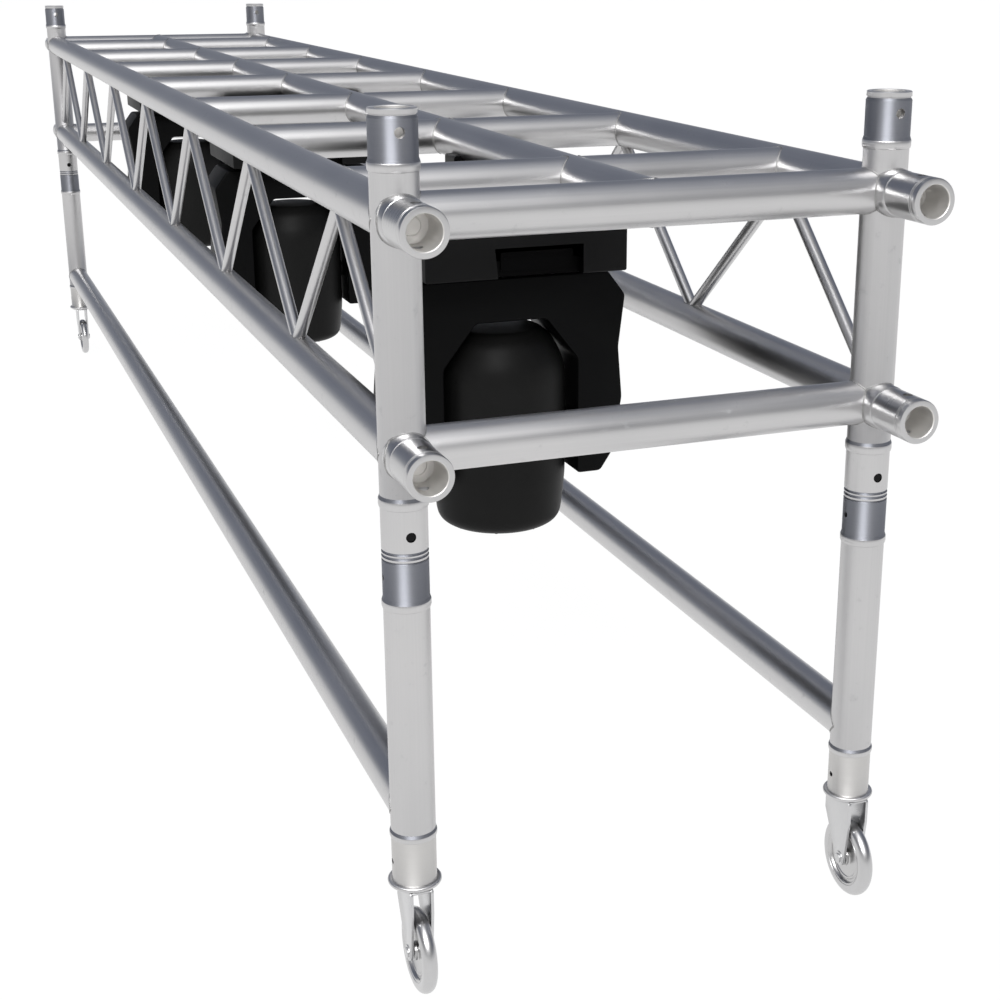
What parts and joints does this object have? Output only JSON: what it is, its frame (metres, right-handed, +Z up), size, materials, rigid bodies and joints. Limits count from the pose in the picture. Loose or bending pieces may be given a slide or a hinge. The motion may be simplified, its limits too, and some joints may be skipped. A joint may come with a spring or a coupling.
{
  "type": "lighting truss section",
  "caption": "Ladder-topped box truss section on caster legs, with coupling sockets at its corners and moving-head lights hung inside from the centre chord.",
  "frame": {"origin": "on the floor under the middle of the section", "axes": "+Z up, +Y along the truss, +X across it"},
  "size_m": [0.6186, 3.574, 0.9813],
  "materials": {
    "satin_aluminium": "satin, drawn tube",
    "machined_aluminium": "machined bright",
    "black_housing": "satin black",
    "zinc_plate": "zinc plated",
    "wheel_grey": "grey"
  },
  "bodies": {
    "truss": {"top_chord_left": "satin_aluminium", "bottom_chord_left": "satin_aluminium", "top_chord_right": "satin_aluminium", "bottom_chord_right": "satin_aluminium", "top_chord_centre": "satin_aluminium", "end_tube_top_near": "satin_aluminium", "end_tube_bottom_near": "satin_aluminium", "end_tube_top_far": "satin_aluminium", "end_tube_bottom_far": "satin_aluminium", "rung_left_1": "satin_aluminium", "rung_left_2": "satin_aluminium", "rung_left_3": "satin_aluminium", "rung_left_4": "satin_aluminium", "rung_left_5": "satin_aluminium", "rung_left_6": "satin_aluminium", "rung_left_7": "satin_aluminium", "rung_right_1": "satin_aluminium", "rung_right_2": "satin_aluminium", "rung_right_3": "satin_aluminium", "rung_right_4": "satin_aluminium", "rung_right_5": "satin_aluminium", "rung_right_6": "satin_aluminium", "rung_right_7": "satin_aluminium", "lacing_left": "satin_aluminium", "lacing_right": "satin_aluminium", "corner_post_left_near": "satin_aluminium", "corner_post_left_far": "satin_aluminium", "corner_post_right_near": "satin_aluminium", "corner_post_right_far": "satin_aluminium", "receiver_left_near_top": "machined_aluminium", "receiver_left_near_bottom": "machined_aluminium", "receiver_left_far_top": "machined_aluminium", "receiver_left_far_bottom": "machined_aluminium", "receiver_right_near_top": "machined_aluminium", "receiver_right_near_bottom": "machined_aluminium", "receiver_right_far_top": "machined_aluminium", "receiver_right_far_bottom": "machined_aluminium", "leg_left_near": "satin_aluminium", "leg_left_far": "satin_aluminium", "leg_right_near": "satin_aluminium", "leg_right_far": "satin_aluminium", "dolly_rail_left": "satin_aluminium", "dolly_rail_right": "satin_aluminium", "light_base_near": "black_housing", "light_base_middle": "black_housing", "light_base_far": "black_housing"},
    "swivel_left_near": {"caster_fork_left_near": "zinc_plate"},
    "wheel_left_near": {"caster_wheel_left_near": "wheel_grey"},
    "swivel_left_far": {"caster_fork_left_far": "zinc_plate"},
    "wheel_left_far": {"caster_wheel_left_far": "wheel_grey"},
    "swivel_right_near": {"caster_fork_right_near": "zinc_plate"},
    "wheel_right_near": {"caster_wheel_right_near": "wheel_grey"},
    "swivel_right_far": {"caster_fork_right_far": "zinc_plate"},
    "wheel_right_far": {"caster_wheel_right_far": "wheel_grey"},
    "yoke_near": {"light_yoke_near": "black_housing"},
    "head_near": {"light_head_near": "black_housing"},
    "yoke_middle": {"light_yoke_middle": "black_housing"},
    "head_middle": {"light_head_middle": "black_housing"},
    "yoke_far": {"light_yoke_far": "black_housing"},
    "head_far": {"light_head_far": "black_housing"}
  },
  "joints": [
    {"name": "caster_swivel_left_near", "type": "hinge", "parent": "truss", "child": "swivel_left_near", "pos_m": [-0.279, -1.687, 0.13304], "axis": [0, 0, 1], "continuous": true},
    {"name": "caster_roll_left_near", "type": "hinge", "parent": "swivel_left_near", "child": "wheel_left_near", "pos_m": [-0.279, -1.6975, 0.04924], "axis": [1, 0, 0], "continuous": true},
    {"name": "caster_swivel_left_far", "type": "hinge", "parent": "truss", "child": "swivel_left_far", "pos_m": [-0.279, 1.687, 0.13304], "axis": [0, 0, 1], "continuous": true},
    {"name": "caster_roll_left_far", "type": "hinge", "parent": "swivel_left_far", "child": "wheel_left_far", "pos_m": [-0.279, 1.6765, 0.04924], "axis": [1, 0, 0], "continuous": true},
    {"name": "caster_swivel_right_near", "type": "hinge", "parent": "truss", "child": "swivel_right_near", "pos_m": [0.279, -1.687, 0.13304], "axis": [0, 0, 1], "continuous": true},
    {"name": "caster_roll_right_near", "type": "hinge", "parent": "swivel_right_near", "child": "wheel_right_near", "pos_m": [0.279, -1.6975, 0.04924], "axis": [1, 0, 0], "continuous": true},
    {"name": "caster_swivel_right_far", "type": "hinge", "parent": "truss", "child": "swivel_right_far", "pos_m": [0.279, 1.687, 0.13304], "axis": [0, 0, 1], "continuous": true},
    {"name": "caster_roll_right_far", "type": "hinge", "parent": "swivel_right_far", "child": "wheel_right_far", "pos_m": [0.279, 1.6765, 0.04924], "axis": [1, 0, 0], "continuous": true},
    {"name": "light_pan_near", "type": "hinge", "parent": "truss", "child": "yoke_near", "pos_m": [0, -1.19, 0.73034], "axis": [0, 0, 1], "range_deg": [-270, 270]},
    {"name": "light_tilt_near", "type": "hinge", "parent": "yoke_near", "child": "head_near", "pos_m": [0, -1.19, 0.50434], "axis": [1, 0, 0], "range_deg": [-135, 135]},
    {"name": "light_pan_middle", "type": "hinge", "parent": "truss", "child": "yoke_middle", "pos_m": [0, 0.045, 0.73034], "axis": [0, 0, 1], "range_deg": [-270, 270]},
    {"name": "light_tilt_middle", "type": "hinge", "parent": "yoke_middle", "child": "head_middle", "pos_m": [0, 0.045, 0.50434], "axis": [1, 0, 0], "range_deg": [-135, 135]},
    {"name": "light_pan_far", "type": "hinge", "parent": "truss", "child": "yoke_far", "pos_m": [0, 1.28, 0.73034], "axis": [0, 0, 1], "range_deg": [-270, 270]},
    {"name": "light_tilt_far", "type": "hinge", "parent": "yoke_far", "child": "head_far", "pos_m": [0, 1.28, 0.50434], "axis": [1, 0, 0], "range_deg": [-135, 135]}
  ]
}
